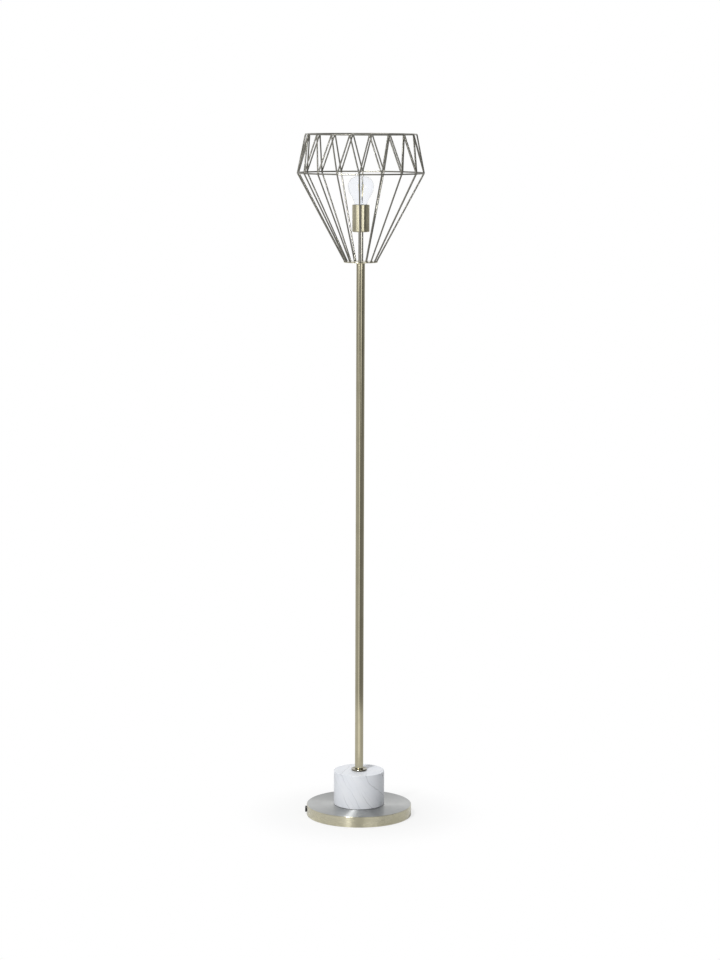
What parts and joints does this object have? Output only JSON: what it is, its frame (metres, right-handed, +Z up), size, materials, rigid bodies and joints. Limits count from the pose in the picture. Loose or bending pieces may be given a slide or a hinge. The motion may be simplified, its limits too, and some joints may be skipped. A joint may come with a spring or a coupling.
{
  "type": "wire cage floor lamp",
  "caption": "Free-standing floor lamp: round weighted foot, stone plinth, slim jointed pole and an open faceted wire cage round one bulb that unscrews from its holder.",
  "frame": {"origin": "on the floor under the pole's axis, at the centre of the foot", "axes": "+Z up along the pole; -Y towards the viewer of the picture; the lead's inlet is on the -X side"},
  "size_m": [0.2966, 0.2996, 1.6171],
  "materials": {
    "aged_brass": "satin",
    "polished_brass": "polished",
    "turned_brass": "satin",
    "marble": "satin",
    "gasket": "matte",
    "felt": "matte",
    "iron": "matte",
    "steel": "satin",
    "black_plastic": "satin",
    "ceramic": "matte",
    "contact_metal": "satin",
    "lead_sheath": "matte",
    "clear_glass": "gloss",
    "bulb_metal": "satin",
    "dark_glass": "gloss",
    "circuit_board": "matte",
    "filament": "matte"
  },
  "bodies": {
    "lamp": {"base_pad": "felt", "base_weight": "iron", "base_cover": "aged_brass", "cord_gland": "black_plastic", "base_nut": "steel", "tie_rod": "steel", "plinth_gasket": "gasket", "marble_plinth": "marble", "pole_collar": "polished_brass", "foot_plug": "turned_brass", "pole_lower": "aged_brass", "pole_middle": "aged_brass", "pole_upper": "aged_brass", "lower_joint_socket": "turned_brass", "lower_joint_stud": "turned_brass", "upper_joint_socket": "turned_brass", "upper_joint_stud": "turned_brass", "top_plug": "turned_brass", "top_nipple": "steel", "cage_girdle_ring": "aged_brass", "cage_top_ring": "aged_brass", "cage_plate": "aged_brass", "upper_struts_right": "aged_brass", "upper_struts_left": "aged_brass", "stem_sleeve": "aged_brass", "socket_cup": "aged_brass", "cup_nut": "steel", "holder_cap": "black_plastic", "holder_body": "ceramic", "holder_skirt": "black_plastic", "holder_thread_shell": "contact_metal", "centre_contact": "contact_metal", "terminal_screws": "steel", "internal_lead": "lead_sheath", "lower_strut_01": "aged_brass", "lower_strut_02": "aged_brass", "lower_strut_03": "aged_brass", "lower_strut_04": "aged_brass", "lower_strut_05": "aged_brass", "lower_strut_06": "aged_brass", "lower_strut_07": "aged_brass", "lower_strut_08": "aged_brass", "lower_strut_09": "aged_brass", "lower_strut_10": "aged_brass", "lower_strut_11": "aged_brass", "lower_strut_12": "aged_brass", "lower_strut_13": "aged_brass", "lower_strut_14": "aged_brass", "lower_strut_15": "aged_brass", "lower_strut_16": "aged_brass", "lower_strut_17": "aged_brass", "lower_strut_18": "aged_brass"},
    "bulb_tip": {"bulb_contact": "bulb_metal"},
    "bulb": {"bulb_glass": "clear_glass", "bulb_cap": "bulb_metal", "cap_insulator": "dark_glass", "bulb_driver": "circuit_board", "bulb_stem": "clear_glass", "bulb_filaments": "filament", "filament_supports": "bulb_metal"}
  },
  "joints": [
    {"name": "bulb_lift", "type": "slide", "parent": "lamp", "child": "bulb_tip", "axis": [0, 0, 1], "range_m": [0, 0.01815]},
    {"name": "bulb_turn", "type": "hinge", "parent": "bulb_tip", "child": "bulb", "pos_m": [0, 0, 1.43], "axis": [0, 0, 1], "range_deg": [0, 1800]}
  ],
  "couplings": [
    {"joint": "bulb_lift", "follows": "bulb_turn", "m_per_rad": 0.00057757}
  ]
}
